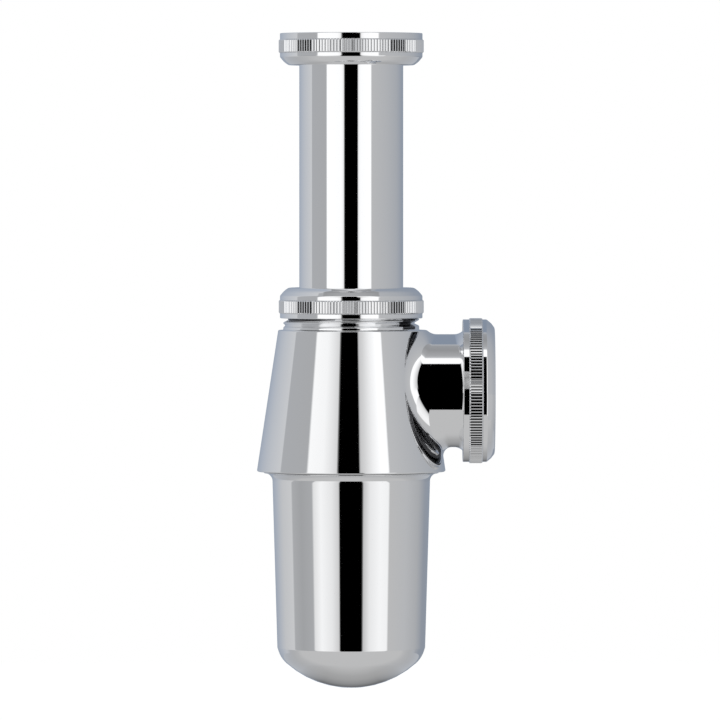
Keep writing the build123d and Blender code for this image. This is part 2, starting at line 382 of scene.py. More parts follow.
def knurl(skin, bottom, top, seed, flank_tilt):
    """A band of rolled teeth: straight flanks, rounded crests and narrow rounded roots."""
    uneven = np.random.default_rng(seed)
    pitch = FULL_TURN / KNURL_TEETH
    half_pitch = pitch * KNURL_RADIUS / 2
    flat = half_pitch * KNURL_FLAT_SHARE
    crest_radius = half_pitch * (KNURL_CREST_SHARE - KNURL_FLAT_SHARE) / math.sin(flank_tilt)
    root_radius = half_pitch * KNURL_ROOT_SHARE / math.sin(flank_tilt)
    flank_end = half_pitch * (1 - KNURL_ROOT_SHARE)
    crest_drop = crest_radius * (1 - math.cos(flank_tilt))
    flank_drop = (flank_end - half_pitch * KNURL_CREST_SHARE) * math.tan(flank_tilt)
    root_drop = root_radius * (1 - math.cos(flank_tilt))
    depth = crest_drop + flank_drop + root_drop

    def arc(way, drop, radius, tilts):
        """Distances along the band, depths below the crest and slopes."""
        return [(way + radius * math.sin(t), drop + radius * (1 - math.cos(t)), t) for t in tilts]

    outline = [(0, 0, 0)]
    outline += arc(flat, 0, crest_radius, np.linspace(0, flank_tilt, KNURL_CREST_STEPS))
    outline += arc(half_pitch, depth, -root_radius, np.linspace(flank_tilt, 0, KNURL_ROOT_STEPS))
    whole = [(-way, drop, -tilt) for way, drop, tilt in outline[:0:-1]] + outline
    shifts, drops, tilts = np.array(whole).T
    teeth = np.arange(KNURL_TEETH)
    lean = uneven.uniform(-1, 1, KNURL_TEETH) * KNURL_UNEVEN
    sink = uneven.uniform(0, 1, KNURL_TEETH) * KNURL_UNEVEN
    ends = np.abs(shifts) > half_pitch - SAME_LENGTH
    angles = teeth[:, None] * pitch + shifts / KNURL_RADIUS
    radii = KNURL_RADIUS - drops - np.where(ends, 0, sink[:, None])
    facing = angles + tilts + np.where(ends, 0, lean[:, None])
    # Each tooth ends where the next one starts
    angles, radii, facing = (
        np.append(values[:, :-1].ravel(), values[-1, -1]) for values in (angles, radii, facing)
    )
    rim = KNURL_RADIUS - depth - KNURL_RIM_DROP
    cosine, sine = np.cos(angles), np.sin(angles)

    def row(radius, level):
        return np.stack([radius * cosine, radius * sine, level + 0 * angles], axis=-1)

    side = np.stack([np.cos(facing), np.sin(facing), 0 * facing], axis=-1)
    up = np.zeros_like(side) + (0, 0, 1)
    low_end, high_end = bottom + KNURL_CHAMFER, top - KNURL_CHAMFER
    # Roots deeper than this are painted dark, as the shade between the teeth
    shade_below = KNURL_RADIUS - crest_drop - flank_drop * KNURL_SHADE_SHARE
    roots = np.maximum(radii[:-1], radii[1:]) < shade_below
    skin.grid(
        np.array([row(radii, low_end), row(radii, high_end)]), np.array([side, side]),
        finish=np.where(roots, PAINTED_SHADE, PLATED),
    )
    for level, edge, way in ((bottom, low_end, -1), (top, high_end, 1)):
        slant = unit(side + way * up)
        skin.grid(np.array([row(rim, level), row(radii, edge)]), np.array([slant, slant]))
        skin.grid(np.array([row(KNURL_FLOOR, level), row(rim, level)]), way * np.array([up, up]))


def nut(
    name, foot, way, crest, seed,
    height=NUT_HEIGHT, flank_tilt=FLANK_TILT, place=None, finish=None,
):
    """A knurled nut. Its lip's face is at the level foot, and its mouth lies the given way.

    The finish may be a function of the height above the lip's face, the radius and the angle.
    """

    def level(above_face):
        return foot + way * above_face

    outline = [
        (SEAT_RADIUS, NUT_SEAT_TOP),
        (SEAT_RADIUS, NUT_LIP),
        (HOLE_RADIUS, NUT_LIP),
        (HOLE_RADIUS, 0),
        *NUT_CROWN,
        (RIM_RADIUS, KNURL_BOTTOM),
        (KNURL_FLOOR, KNURL_BOTTOM),
        (KNURL_FLOOR, KNURL_TOP),
        (RIM_RADIUS, KNURL_TOP),
        (RIM_RADIUS, height, NUT_MOUTH_ROUND),
        (BORE_RADIUS + THREAD_CHAMFER, height),
        (BORE_RADIUS, height - THREAD_CHAMFER),
        (BORE_RADIUS, height - 2 * THREAD_CHAMFER),
    ]
    profile = np.array(soften(outline, closed=False))
    rows = [(r, level(z), out, way * up) for r, z, out, up in profile]
    skin = Skin()
    finishes = PLATED
    if finish is not None:
        middles = (profile[:-1] + profile[1:]) / 2
        finishes = finish(middles[:, 1:2], middles[:, 0:1], ROUND_ANGLES[None, :])
    lathe(skin, rows, finish=finishes)
    ends = sorted([level(NUT_SEAT_TOP), level(height - 2 * THREAD_CHAMFER)])
    # The bore's thread and the shelf below it are painted dark, as the shade inside the nut
    thread(skin, BORE_RADIUS, ends[0], ends[1], ROUND_ANGLES, crest, THREAD_PITCH, THREAD_DEPTH,
           inward=True, finish=PAINTED_SHADE)
    bore_foot = level(NUT_SEAT_TOP)
    shelf = [(BORE_RADIUS, bore_foot, 0, way), (SEAT_RADIUS, bore_foot, 0, way)]
    lathe(skin, shelf, finish=PAINTED_SHADE)
    band = sorted([level(KNURL_BOTTOM), level(KNURL_TOP)])
    knurl(skin, band[0], band[1], seed, flank_tilt)
    return skin.mesh(name, place)


def about_branch(vectors, moves=True):
    """Turns points or normals made about Z so that +Z lies along the branch's axis."""
    vectors = np.asarray(vectors, float)
    turned = np.stack([vectors[..., 2], vectors[..., 1], -vectors[..., 0]], axis=-1)
    return turned + (0, 0, branch_level) if moves else turned


class BranchRoot:
    """Where a tube about the branch's axis meets a cone about Z, joined by a rolling blend.

    The blend's radius changes round the tube. Phi is measured round the branch's axis from +Z
    towards +Y, and the section arc at phi goes from the tube to the cone.
    """

    def __init__(self, cone_radius, tube_radius, blend):
        self.cone_radius = cone_radius
        self.tube_radius = tube_radius
        self.blend = blend
        self.stretch = math.sqrt(1 + CONE_SLOPE**2)

    def ends(self, phi):
        """The arc's centre, its radius, and its directions to the tube and to the cone."""
        radius = self.blend(phi)
        reach = self.tube_radius + radius
        y = reach * np.sin(phi)
        z = branch_level + reach * np.cos(phi)
        offset = self.cone_radius(z) + radius * self.stretch
        x = np.sqrt(offset**2 - y**2)
        zero = 0 * phi
        to_tube = -np.stack([zero, np.sin(phi), np.cos(phi)], axis=-1)
        theta = np.arctan2(y, x)
        rise = CONE_SLOPE + zero
        to_cone = -np.stack([np.cos(theta), np.sin(theta), rise], axis=-1) / self.stretch
        return np.stack([x, y, z], axis=-1), radius, to_tube, to_cone, theta

    def point(self, phi, share):
        """The point at a share of the arc from the tube, 0, to the cone, 1."""
        centre, radius, to_tube, to_cone, _ = self.ends(phi)
        opening = np.arccos(np.clip((to_tube * to_cone).sum(-1), -1, 1))
        near = np.sin((1 - share) * opening) / np.sin(opening)
        far = np.sin(share * opening) / np.sin(opening)
        spoke = near[..., None] * to_tube + far[..., None] * to_cone
        return centre + radius[..., None] * spoke

    def normal(self, phi, share):
        """The blend's normal, away from the metal on the outside."""
        step = 1e-4
        across = self.point(phi + step, share) - self.point(phi - step, share)
        along = self.point(phi, share + step) - self.point(phi, share - step)
        normal = unit(np.cross(across, along))
        centre = self.ends(phi)[0]
        facing = ((centre - self.point(phi, share)) * normal).sum(-1, keepdims=True)
        return normal * np.sign(facing)

    def share_at_level(self, phi, level):
        """The share of the arc where it reaches a level, or 1 where it stays below."""
        low, high = np.zeros_like(phi), np.ones_like(phi)
        crossing = self.point(phi, high)[..., 2] > level
        for _ in range(HALVINGS):
            middle = (low + high) / 2
            above = self.point(phi, middle)[..., 2] > level
            low, high = np.where(above, low, middle), np.where(above, middle, high)
        return np.where(crossing, low, 1.0)


def outer_cone(level):
    return SHOULDER_RADIUS + CONE_SLOPE * (shoulder_level - level)


def inner_cone(level):
    return outer_cone(level) - BODY_WALL


def outer_blend(phi):
    """Tight under the branch, wider at its sides."""
    return BLEND_MEAN + BLEND_TOWARDS_TOP * np.cos(phi) - BLEND_TOWARDS_SIDES * np.cos(2 * phi)


def inner_blend(phi):
    return WATERWAY_ROUND + 0 * phi


# Where the neck's thread runs out, a patch over these angles is painted dark, as a dark
# reflection, and on the other side a tapering line just below the nut's mouth is painted shade
# of the gap under the nut. Heights are over the shoulder.
RUN_OUT_SHADE = math.radians(-43), math.radians(-20)
RUN_OUT_SHADE_TOP = 3.9
NUT_MOUTH_SHADE_SIDE = math.radians(-174), math.radians(-105)
NUT_MOUTH_SHADE_FOOT = 2.95
NUT_MOUTH_SHADE_TAPER = 0.75
NUT_MOUTH_SHADE_TOP = 3.9

# The patch of the cone that surrounds the branch is a rectangle of angle and level
PATCH_HALF = math.radians(80)
CUT_COLUMNS, TOP_COLUMNS, SIDE_COLUMNS, FOOT_COLUMNS = 16, 22, 36, 36
CORNER_TOP_PHI = math.radians(62)
CORNER_FOOT_PHI = math.radians(122)


def half_phis(cut_phi):
    """The columns of half a loop round the branch, from its top to its foot."""
    return np.concatenate([
        np.linspace(0, cut_phi, CUT_COLUMNS, endpoint=False),
        np.linspace(cut_phi, CORNER_TOP_PHI, TOP_COLUMNS, endpoint=False),
        np.linspace(CORNER_TOP_PHI, CORNER_FOOT_PHI, SIDE_COLUMNS, endpoint=False),
        np.linspace(CORNER_FOOT_PHI, math.pi, FOOT_COLUMNS + 1),
    ])


def mirrored(half, sign=-1):
    """A full loop from a half one that starts at the top and ends at the foot."""
    return np.concatenate([half, sign * half[-2:0:-1]])


def patch_edge(half, cut_phi, cut_theta, low, high):
    """The angle and level of the rectangle's edge for each column of half a loop."""
    theta = np.interp(
        half,
        [cut_phi, CORNER_TOP_PHI, CORNER_FOOT_PHI, math.pi],
        [cut_theta, PATCH_HALF, PATCH_HALF, 0],
    )
    level = np.interp(half, [CORNER_TOP_PHI, CORNER_FOOT_PHI], [high, low])
    return theta, level


def cone_points(cone_radius, theta, level):
    radius = cone_radius(level)
    return np.stack([radius * np.cos(theta), radius * np.sin(theta), level], axis=-1)


def cone_normals(theta):
    rise = CONE_SLOPE + 0 * theta
    return unit(np.stack([np.cos(theta), np.sin(theta), rise], axis=-1))


def branch_patch(skin, root, phi, low, high, cut_phi, inward=False):
    """The blend and the cone round it. Gives the loop where the blend leaves the tube."""
    side = -1 if inward else 1
    shares = root.share_at_level(phi, high)
    arc_rows = np.linspace(0, 1, BLEND_STEPS)[:, None] * shares[None, :]
    wide_phi = phi[None, :] + 0 * arc_rows
    blend = root.point(wide_phi, arc_rows)
    skin.grid(blend, side * root.normal(wide_phi, arc_rows), closed=True)
    half = phi[: len(phi) // 2 + 1]
    cut_theta = abs(float(root.ends(np.array([cut_phi]))[4][0])) if cut_phi else 0.0
    edge_theta, edge_level = patch_edge(half, cut_phi, cut_theta, low, high)
    edge_theta, edge_level = mirrored(edge_theta), mirrored(edge_level, 1)
    contact = blend[-1]
    theta = np.arctan2(contact[:, 1], contact[:, 0])
    whole = shares > 1 - SAME_SHARE
    share = np.linspace(0, 1, CONE_STEPS)[:, None]
    theta_rows = theta + share * (edge_theta - theta)
    level_rows = contact[:, 2] + share * (edge_level - contact[:, 2])
    points = cone_points(root.cone_radius, theta_rows, level_rows)
    points[:, ~whole] = contact[~whole]
    skin.grid(points, side * cone_normals(theta_rows), closed=True)
    rest = np.linspace(PATCH_HALF, FULL_TURN - PATCH_HALF, CONE_BACK_COLUMNS)
    levels = np.unique(np.round(edge_level[np.isclose(edge_theta, PATCH_HALF)], SAME_DIGITS))
    rest_theta, rest_level = np.meshgrid(rest, levels)
    skin.grid(
        cone_points(root.cone_radius, rest_theta, rest_level), side * cone_normals(rest_theta)
    )
    return blend[0], points[-1], rest


def add_object(name, data):
    made = bpy.data.objects.new(name, data)
    bpy.context.scene.collection.objects.link(made)
    return made


def add_piece(name, mesh, node, body):
    piece = add_object(name, mesh)
    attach(piece, body)
    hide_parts(node)


# The levels of a crest of each thread, which a nut and what it screws onto share
neck_crest = shoulder_level + NECK_CREST
cup_crest = cup_flange_level


def trap_body():
    skin = Skin()
    patch_low = skirt_level + SKIRT_BAND
    patch_high = shoulder_level - SHOULDER_ROUND
    outer = BranchRoot(outer_cone, BRANCH_RADIUS, outer_blend)
    fine = np.linspace(0, math.pi / 2, SEARCH_STEPS)
    cut_phi = float(fine[np.argmax(outer.point(fine, np.ones_like(fine))[:, 2] < patch_high)])
    phi = mirrored(half_phis(cut_phi))
    loop, edge, rest = branch_patch(skin, outer, phi, patch_low, patch_high, cut_phi)

    # The shoulder's rounded edge and the ledge up to the neck
    top = np.abs(edge[:, 2] - patch_high) < SAME_LENGTH
    top_theta = np.arctan2(edge[:, 1], edge[:, 0])[top]
    order = np.argsort(top_theta)
    top_theta, top_phi = top_theta[order], phi[top][order]
    top_points = edge[top][order]
    share = outer.share_at_level(top_phi, patch_high)
    cut_short = (share < 1 - SAME_SHARE)[:, None]
    top_normals = np.where(cut_short, outer.normal(top_phi, share), cone_normals(top_theta))
    rest_inner = rest[1:-1]
    rest_points = cone_points(outer_cone, rest_inner, patch_high + 0 * rest_inner)
    ring = np.concatenate([top_points, rest_points])
    ring_normals = np.concatenate([top_normals, cone_normals(rest_inner)])
    climb = np.array([0, 0, 1]) - ring_normals[:, 2:] * ring_normals
    climb = climb / climb[:, 2:]
    corner = ring + climb * SHOULDER_ROUND
    inward = -unit(ring_normals * (1, 1, 0))
    inner = corner + inward * SHOULDER_ROUND
    rows, row_normals = [], []
    around = np.roll(ring, -1, axis=0) - np.roll(ring, 1, axis=0)
    for t in np.linspace(0, 1, SHOULDER_STEPS):
        rows.append((1 - t) ** 2 * ring + 2 * t * (1 - t) * corner + t * t * inner)
        along = 2 * (1 - t) * (corner - ring) + 2 * t * (inner - corner)
        normal = unit(np.cross(around, along))
        row_normals.append(normal * np.sign((normal * ring_normals).sum(-1, keepdims=True)))
    row_normals[0] = ring_normals
    row_normals[-1] = np.zeros_like(ring) + (0, 0, 1)
    skin.grid(np.array(rows), np.array(row_normals), closed=True)
    theta = np.arctan2(inner[:, 1], inner[:, 0])
    neck_foot_radius = THREAD_RADIUS + NECK_FOOT_FLARE
    foot = np.stack(
        [neck_foot_radius * np.cos(theta), neck_foot_radius * np.sin(theta), inner[:, 2]], axis=-1
    )
    ledge = np.array([inner, (inner + foot) / 2, foot])
    skin.grid(ledge, np.zeros_like(ledge) + (0, 0, 1), closed=True)

    # The neck, its top face, its bore and the roof of the chamber
    roof = shoulder_level - ROOF_THICKNESS
    thread_foot = shoulder_level + NECK_FOOT_LAND
    thread_top = neck_top - THREAD_CHAMFER
    neck_foot = [
        (neck_foot_radius, shoulder_level),
        (THREAD_RADIUS, shoulder_level + NECK_FOOT_FLARE, NECK_FOOT_ROUND),
        (THREAD_RADIUS, thread_foot),
    ]
    turn_open(skin, neck_foot, theta)

    def neck_shade(level, angle):
        height = level - shoulder_level
        along = (angle - NUT_MOUTH_SHADE_SIDE[0]) / (NUT_MOUTH_SHADE_SIDE[1] - NUT_MOUTH_SHADE_SIDE[0])
        # The run-out's patch is a painted dark reflection, the line below the nut's mouth painted
        # shade
        cut = (angle > RUN_OUT_SHADE[0]) & (angle < RUN_OUT_SHADE[1]) & (height < RUN_OUT_SHADE_TOP)
        mouth_shade = (along > 0) & (along < 1) & (height < NUT_MOUTH_SHADE_TOP)
        mouth_shade = mouth_shade & (height > NUT_MOUTH_SHADE_FOOT + NUT_MOUTH_SHADE_TAPER * along)
        return np.where(cut | mouth_shade, PAINTED_SHADE, PLATED)

    thread(skin, THREAD_RADIUS, thread_foot, thread_top, theta, neck_crest, THREAD_PITCH,
           THREAD_DEPTH, fades=NECK_THREAD_FADES, finish=neck_shade)
    neck_end = [
        (THREAD_RADIUS, thread_top),
        (THREAD_RADIUS - THREAD_CHAMFER, neck_top),
        (DIP_TUBE_RADIUS, neck_top),
        (DIP_TUBE_RADIUS, roof),
        (inner_cone(roof), roof),
    ]
    turn_open(skin, neck_end, theta)

    # The chamber, with the waterway's opening
    ledge_top = shoulder_level - LEDGE_TOP_DROP
    chamber = BranchRoot(inner_cone, WATERWAY_RADIUS, inner_blend)
    inner_loop, _, _ = branch_patch(skin, chamber, phi, ledge_top, roof, 0.0, inward=True)

    # The skirt's edge, the cup's thread and the gasket's ledge
    bore = CUP_THREAD_RADIUS + THREAD_CLEARANCE
    ledge_level = ledge_top - LEDGE_THICKNESS
    thread_start = skirt_level + THREAD_CHAMFER + SKIRT_MOUTH_LAND
    thread_end = skirt_level + CUP_THREAD_LENGTH
    gasket_ledge = [
        (bore, thread_end),
        (bore, ledge_level),
        (LEDGE_RADIUS, ledge_level),
        (LEDGE_RADIUS, ledge_top),
        (inner_cone(ledge_top), ledge_top),
    ]
    skirt_edge = [
        (bore, thread_start),
        (bore, skirt_level + THREAD_CHAMFER),
        (bore + THREAD_CHAMFER, skirt_level),
        (outer_cone(skirt_level), skirt_level, SKIRT_ROUND),
        (outer_cone(patch_low), patch_low),
    ]
    turn_open(skin, gasket_ledge, solid_on_right=True)
    turn_open(skin, skirt_edge)
    thread(skin, bore, thread_start, thread_end, ROUND_ANGLES, cup_crest,
           CUP_THREAD_PITCH, CUP_THREAD_DEPTH, inward=True)

    # The branch from the blend to the collar, and its bore back to the chamber
    share = np.linspace(0, 1, BRANCH_STEPS)[:, None]
    spokes = np.stack([0 * phi, np.sin(phi), np.cos(phi)], axis=-1)
    forward = np.array([1.0, 0, 0])
    axis_point = np.array([0, 0, branch_level])

    def bridge(start_loop, reach, side):
        end_loop = start_loop.copy()
        end_loop[:, 0] = reach + 0 * phi
        points = start_loop[None] + share[..., None] * (end_loop - start_loop)[None]
        skin.grid(points, side * np.repeat(spokes[None], len(share), axis=0), closed=True)

    # The flare starts later at the sides of the branch than above and below it, and its end
    # lies inside the nut's mouth, where it is painted dark as the shade in the mouth
    flare_start = FLARE_START - FLARE_DRIFT * np.cos(2 * phi)
    bridge(loop, flare_start, 1)
    fullest = math.acos(1 - FLARE_RISE / FLARE_RADIUS)
    room = np.minimum((collar_start - flare_start) / FLARE_RADIUS, 1)
    steepest = np.minimum(np.arcsin(room), fullest)
    angles = np.linspace(0, 1, FLARE_STEPS)[:, None, None] * steepest[:, None]
    radii = BRANCH_RADIUS + FLARE_RADIUS * (1 - np.cos(angles))
    reach = flare_start[None, :, None] + FLARE_RADIUS * np.sin(angles)
    flare = axis_point + radii * spokes + reach * forward
    lean = np.cos(angles) * spokes - np.sin(angles) * forward
    inside = reach[:-1, :, 0] > outlet_nut_mouth
    skin.grid(flare, lean, closed=True, finish=np.where(inside, PAINTED_SHADE, PLATED))
    foot = axis_point + radii[-1] * spokes + collar_start * forward
    step = axis_point + (BRANCH_RADIUS + FLARE_RISE) * spokes + collar_start * forward
    # The collar's foot and step inside the nut are painted dark as shade
    skin.grid(np.array([flare[-1], foot]), np.array([spokes, spokes]), closed=True, finish=PAINTED_SHADE)
    back = np.zeros_like(foot) - forward
    skin.grid(np.array([foot, step]), np.array([back, back]), closed=True, finish=PAINTED_SHADE)
    collar = [
        (BRANCH_RADIUS + FLARE_RISE, collar_start),
        (THREAD_RADIUS - THREAD_CHAMFER, collar_start),
        (THREAD_RADIUS, collar_start + THREAD_CHAMFER),
        (THREAD_RADIUS, branch_reach - THREAD_CHAMFER),
        (THREAD_RADIUS - THREAD_CHAMFER, branch_reach),
        (HOLE_RADIUS + SEAL_TAPER, branch_reach),
        (HOLE_RADIUS, branch_reach - SEAL_TAPER),
        (HOLE_RADIUS, SOCKET_STOP),
        (WATERWAY_RADIUS, SOCKET_STOP),
        (WATERWAY_RADIUS, SOCKET_STOP - WATERWAY_LAND),
    ]
    radius, reach, out, ahead = np.array(soften(collar, closed=False)).T[:, :, None, None]
    collar_points = axis_point + radius * spokes + reach * forward
    # The collar and the bore inside the nut are painted dark as shade
    skin.grid(collar_points, out * spokes + ahead * forward, closed=True, finish=PAINTED_SHADE)
    bridge(inner_loop, SOCKET_STOP - WATERWAY_LAND, -1)
    return skin.mesh("body_casting")


def inlet_tube():
    flange_bottom = tube_high[2] - TUBE_FLANGE_THICKNESS
    outline = [
        (PIPE_RADIUS - TUBE_WALL, tube_low[2]),
        (PIPE_RADIUS, tube_low[2]),
        (PIPE_RADIUS, flange_bottom),
        (tube_high[0], flange_bottom),
        (tube_high[0], tube_high[2]),
        (PIPE_RADIUS - TUBE_WALL, tube_high[2]),
    ]
    return turn_closed("supply_tube", outline)


def cup_outline(grow):
    """The dome, its corner and the wall's foot, as corners of an outline, moved by grow."""
    low = cup_bottom - grow
    dome = CUP_DOME_RADIUS + grow
    corner = CUP_CORNER_RADIUS + grow
    tilt = math.atan(CUP_TAPER)
    top = CUP_TOP_RADIUS + grow
    wall_at_bottom = top - CUP_TAPER * (cup_flange_level - low)
    lean = math.cos(tilt)
    # The corner's centre is a corner radius from the wall and from the dome inside it
    reach = dome - corner
    height = low + dome
    centre_radius = wall_at_bottom - corner / lean
    for _ in range(SETTLING_ROUNDS):
        centre_height = height - math.sqrt(reach**2 - centre_radius**2)
        centre_radius = wall_at_bottom + CUP_TAPER * (centre_height - low) - corner / lean
    slope = math.asin(centre_radius / reach)
    centre = np.array([centre_radius, centre_height])
    on_wall, on_crease, on_dome = (
        np.array([math.cos(down), -math.sin(down)])
        for down in (tilt, CUP_CREASE, math.pi / 2 - slope)
    )

    def crossing(first, second):
        """Where the arc's tangents at two normals meet."""
        return centre + corner * (first + second) / (1 + first @ second)

    below, crease = crossing(on_crease, on_dome), crossing(on_wall, on_crease)
    return [
        (0, low),
        (dome * math.tan(slope / 2), low, dome),
        (below[0], below[1], corner),
        (crease[0], crease[1], CUP_CREASE_ROUND),
    ]


def cup():
    edge_level = cup_flange_level - CUP_FLANGE_EDGE
    flare_level = edge_level - CUP_FLARE_RADIUS
    thread_foot = cup_flange_level + CUP_THREAD_LAND
    thread_top = cup_rim_level - THREAD_CHAMFER
    inner_top = CUP_TOP_RADIUS - CUP_WALL
    outside = cup_outline(0) + [
        (CUP_TOP_RADIUS, edge_level, CUP_FLARE_RADIUS),
        (CUP_FLANGE_RADIUS, edge_level),
        (CUP_FLANGE_RADIUS, cup_flange_level),
        (CUP_THREAD_RADIUS, cup_flange_level),
        (CUP_THREAD_RADIUS, thread_foot),
    ]
    rim = [
        (CUP_THREAD_RADIUS, thread_top),
        (CUP_THREAD_RADIUS - THREAD_CHAMFER, cup_rim_level),
        (CUP_THREAD_RADIUS - CUP_WALL, cup_rim_level),
        (CUP_THREAD_RADIUS - CUP_WALL, edge_level),
        (inner_top, flare_level),
    ]
    inside = cup_outline(-CUP_WALL)[::-1]
    skin = Skin()
    turn_open(skin, outside)
    turn_open(skin, rim + inside)
    thread(skin, CUP_THREAD_RADIUS, thread_foot, thread_top, ROUND_ANGLES, cup_crest,
           CUP_THREAD_PITCH, CUP_THREAD_DEPTH)
    return skin.mesh("cup_shell")


def gasket():
    """The flat ring on the cup's rim, which passes inside the body's thread."""
    outline = [
        (LEDGE_RADIUS, gasket_low[2], GASKET_ROUND),
        (GASKET_RADIUS, gasket_low[2], GASKET_ROUND),
        (GASKET_RADIUS, gasket_high[2], GASKET_ROUND),
        (LEDGE_RADIUS, gasket_high[2], GASKET_ROUND),
    ]
    return turn_closed("gasket_ring", outline)


# Materials. A noise's scale is the number of its cells in a metre, and depths are metres.

PLATE_COLOR = (0.91, 0.915, 0.925, 1)
WAVE_SCALE, WAVE_DETAIL, WAVE_DEPTH = 45, 1, 0.0001
SCRATCH_SCALE, SCRATCH_DETAIL, SCRATCH_DEPTH = 900, 3, 0.000002
SCRATCH_STRETCH, SCRATCH_STRENGTH = (1, 1, 0.04), 0.25
HAZE_SCALE, HAZE_DETAIL = 220, 4
HAZE_LEAST, HAZE_MOST = 0.6, 1.6
PATCH_SCALE, PATCH_DETAIL, PATCH_DARKNESS = 120, 3, 0.85
GLOSS_LEAST, GLOSS_MOST = 0.85, 1.15
GRAIN_DETAIL, GRAIN_STRENGTH = 2, 0.6
# Most of a noise's values lie between these
NOISE_LOW, NOISE_HIGH = 0.3, 0.7


def new_material(name):
    material = bpy.data.materials.new(name)
    material.use_nodes = True
    nodes, links = material.node_tree.nodes, material.node_tree.links
    return material, nodes, links, nodes["Principled BSDF"]


def output_of(nodes, links, kind, *values, operation=None):
    """A new node's output. Its first inputs take the values: plain ones or other outputs."""
    node = nodes.new("ShaderNode" + kind)
    if operation is not None:
        node.operation = operation
    for socket, value in zip(node.inputs, values):
        if isinstance(value, bpy.types.NodeSocket):
            links.new(value, socket)
        else:
            socket.default_value = value
    return node.outputs[0]


def noise(nodes, links, scale, detail, stretch=(1, 1, 1)):
    mapping = nodes.new("ShaderNodeMapping")
    mapping.inputs["Scale"].default_value = stretch
    place = nodes.new("ShaderNodeTexCoord").outputs["Object"]
    links.new(place, mapping.inputs["Vector"])
    texture = nodes.new("ShaderNodeTexNoise")
    texture.inputs["Scale"].default_value = scale
    texture.inputs["Detail"].default_value = detail
    links.new(mapping.outputs["Vector"], texture.inputs["Vector"])
    return texture.outputs["Fac"]


def bump(nodes, links, height, distance, strength, before=None):
    node = nodes.new("ShaderNodeBump")
    node.inputs["Distance"].default_value = distance
    node.inputs["Strength"].default_value = strength
    links.new(height, node.inputs["Height"])
    if before is not None:
        links.new(before, node.inputs["Normal"])
    return node.outputs["Normal"]


def spread(nodes, links, value, low, high):
    """Stretches a noise to the range from low to high."""
    return output_of(nodes, links, "MapRange", value, NOISE_LOW, NOISE_HIGH, low, high)


def chrome(name, waviness, roughness):
    """Polished chrome plate: faint waves of the polished metal, fine scratches and haze."""
    material, nodes, links, shader = new_material(name)
    shader.inputs["Metallic"].default_value = 1.0
    shader.inputs["Base Color"].default_value = PLATE_COLOR
    waves = noise(nodes, links, WAVE_SCALE, WAVE_DETAIL)
    normal = bump(nodes, links, waves, WAVE_DEPTH, waviness)
    scratches = noise(nodes, links, SCRATCH_SCALE, SCRATCH_DETAIL, SCRATCH_STRETCH)
    normal = bump(nodes, links, scratches, SCRATCH_DEPTH, SCRATCH_STRENGTH, normal)
    haze = noise(nodes, links, HAZE_SCALE, HAZE_DETAIL)
    haze = spread(nodes, links, haze, roughness * HAZE_LEAST, roughness * HAZE_MOST)
    links.new(haze, shader.inputs["Roughness"])
    links.new(normal, shader.inputs["Normal"])
    return material


def moulded(name, color, roughness, grain, depth, metallic=0):
    """A dull surface: a fine grain, with colour and gloss a little uneven."""
    material, nodes, links, shader = new_material(name)
    shader.inputs["Metallic"].default_value = metallic
    patches = noise(nodes, links, PATCH_SCALE, PATCH_DETAIL)
    darker = [part * PATCH_DARKNESS for part in color]
    tint = output_of(nodes, links, "MixRGB", patches, (*darker, 1), (*color, 1))
    links.new(tint, shader.inputs["Base Color"])
    gloss = spread(nodes, links, patches, roughness * GLOSS_LEAST, roughness * GLOSS_MOST)
    links.new(gloss, shader.inputs["Roughness"])
    grains = noise(nodes, links, grain, GRAIN_DETAIL)
    links.new(bump(nodes, links, grains, depth, GRAIN_STRENGTH), shader.inputs["Normal"])
    return material


cast_chrome = chrome("chrome_on_casting", waviness=0.10, roughness=0.03)
drawn_chrome = chrome("chrome_on_tube", waviness=0.03, roughness=0.025)
nut_chrome = chrome("chrome_on_nuts", waviness=0.05, roughness=0.04)
matt_chrome = chrome("matt_chrome", waviness=0.05, roughness=0.4)
# A dark metal, painted where shade falls: in knurl roots, threads, gaps and nut mouths
painted_shade_metal = moulded(
    "painted_shade_metal", (0.11, 0.11, 0.115), roughness=0.3, grain=600, depth=0.00002, metallic=1
)
black_rubber = moulded(
    "black_rubber", (0.03, 0.03, 0.031), roughness=0.7, grain=1500, depth=0.00004
)
white_plastic = moulded(
    "white_plastic", (0.80, 0.80, 0.77), roughness=0.45, grain=900, depth=0.00002
)

for material, inner_nodes in (
    (black_rubber, ("inlet_washer", "neck_seal", "outlet_seal")),
    (white_plastic, ("neck_slip_ring", "outlet_slip_ring", "dip_tube")),
):
    for node in inner_nodes:
        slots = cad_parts[node].data.materials
        slots.clear()
        slots.append(material)


# The pieces that stand for the part's solids

gasket_mesh = gasket()
gasket_mesh.materials.append(black_rubber)
add_piece("gasket_ring", gasket_mesh, "cup_gasket", "cup_gasket")

inlet_nut_mesh = nut("inlet_union_nut", inlet_nut_face, 1, 0.0, KNURL_SEEDS["inlet"])
neck_nut_mesh = nut(
    "neck_compression_nut", neck_nut_face, -1, neck_crest, KNURL_SEEDS["neck"],
    height=NECK_NUT_HEIGHT,
)


def shaded_mouth_outlet_nut(height, radius, angle):
    """A dark metal painted on the mouth's face, as shade of the gap to the branch, and a matt
    patch on the band beside it.
    """
    face = (height > NUT_HEIGHT - MOUTH_FACE_MARGIN) & (radius < RIM_RADIUS - BAND_MARGIN)
    band = (height > KNURL_TOP + BAND_MARGIN) & (radius > RIM_RADIUS - BAND_MARGIN)
    patch = band & (angle > MATT_PATCH[0]) & (angle < MATT_PATCH[1])
    return np.where(face, PAINTED_SHADE, np.where(patch, MATT, PLATED))


